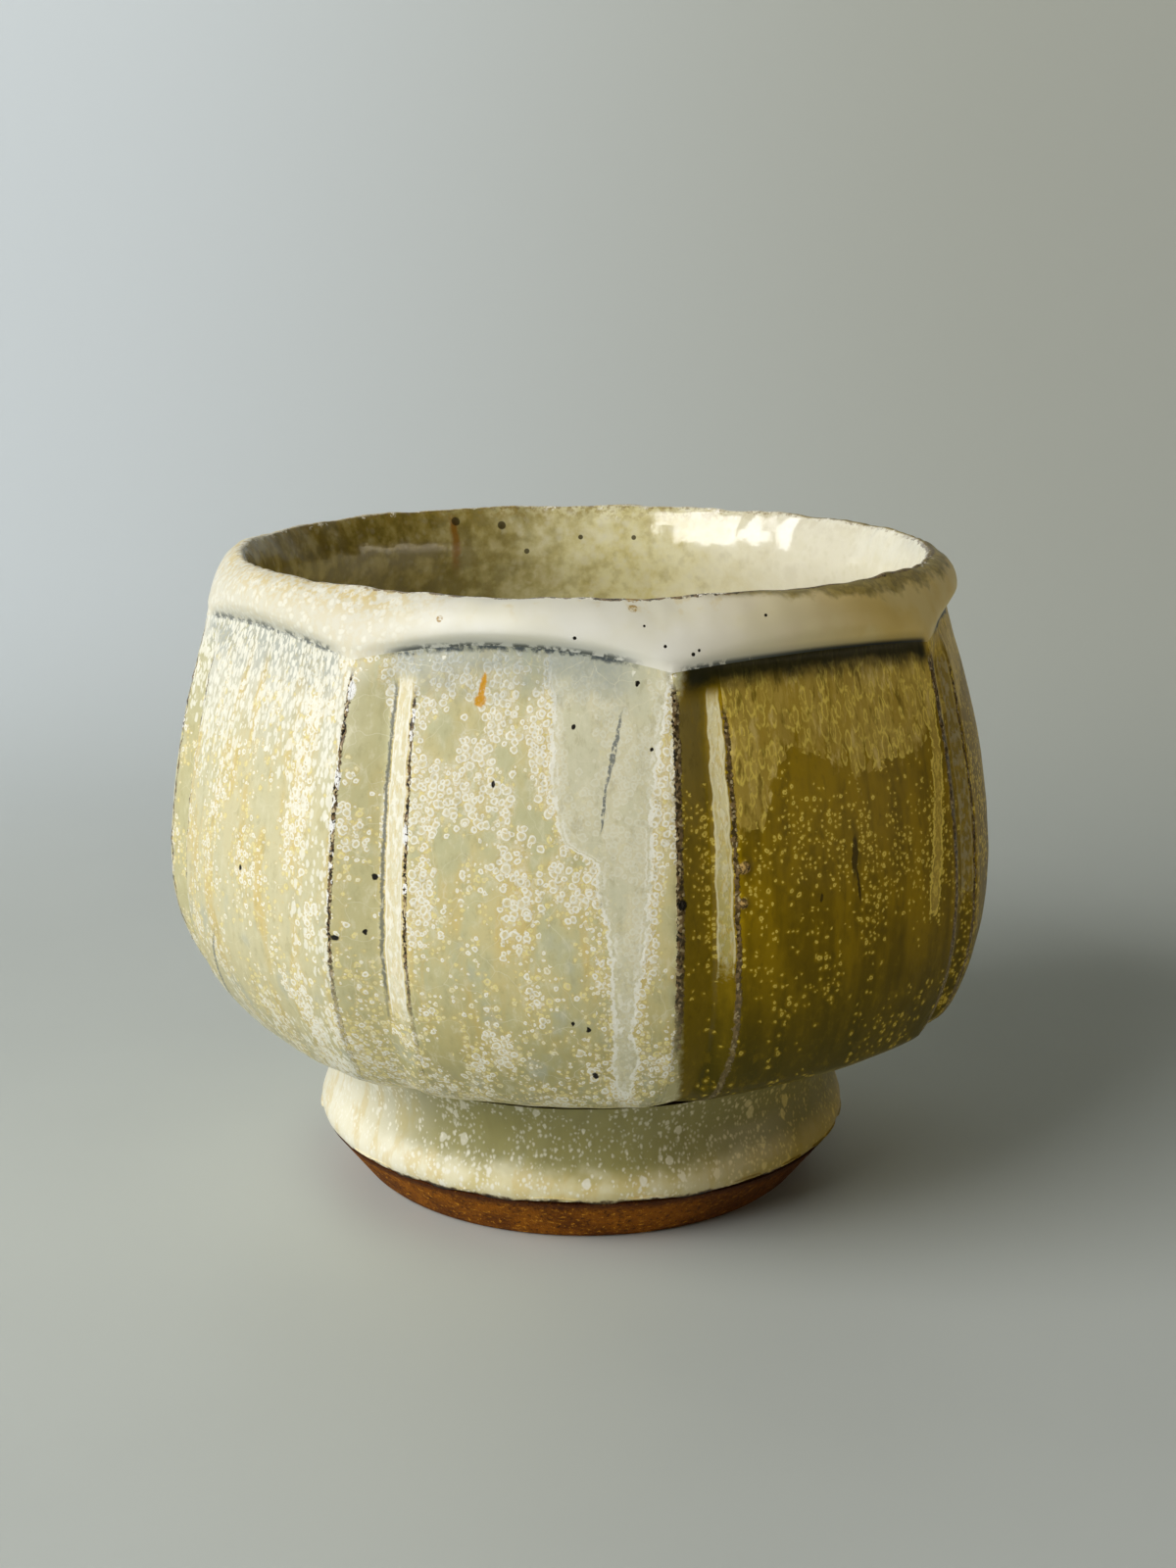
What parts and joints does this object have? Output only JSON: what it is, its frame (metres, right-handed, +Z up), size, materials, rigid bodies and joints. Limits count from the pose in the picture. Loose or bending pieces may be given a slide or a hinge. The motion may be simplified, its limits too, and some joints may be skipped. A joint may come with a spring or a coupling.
{
  "type": "tea bowl",
  "caption": "Hand-made stoneware tea bowl: faceted and fluted belly, rolled scalloped collar, crystalline celadon glaze and a luted foot ring with a bare clay base.",
  "frame": {"origin": "on the bowl's axis at the bottom of the foot, where it stands", "axes": "+Z up along the axis; -Y is the front that the picture shows, +X its right"},
  "size_m": [0.1153, 0.1154, 0.0902],
  "materials": {
    "body_clay": "fired iron-bearing stoneware, dry and grainy",
    "foot_clay": "bare rust-brown stoneware, burnt darker at the glaze line",
    "slip": "fired slip, dry",
    "outer_glaze": "satin celadon glaze with pale ring crystals, drips and dark broken edges",
    "rim_glaze": "glossy cream-white glaze with pinholes",
    "liner_glaze": "glossy pale olive and cream glaze",
    "foot_glaze": "satin cream and pale green glaze with soft white spots"
  },
  "bodies": {
    "root": {"bowl_body": "body_clay", "foot_ring": "foot_clay", "slip_joint": "slip", "outer_glaze": "outer_glaze", "rim_glaze": "rim_glaze", "liner_glaze": "liner_glaze", "foot_glaze": "foot_glaze"}
  },
  "joints": []
}
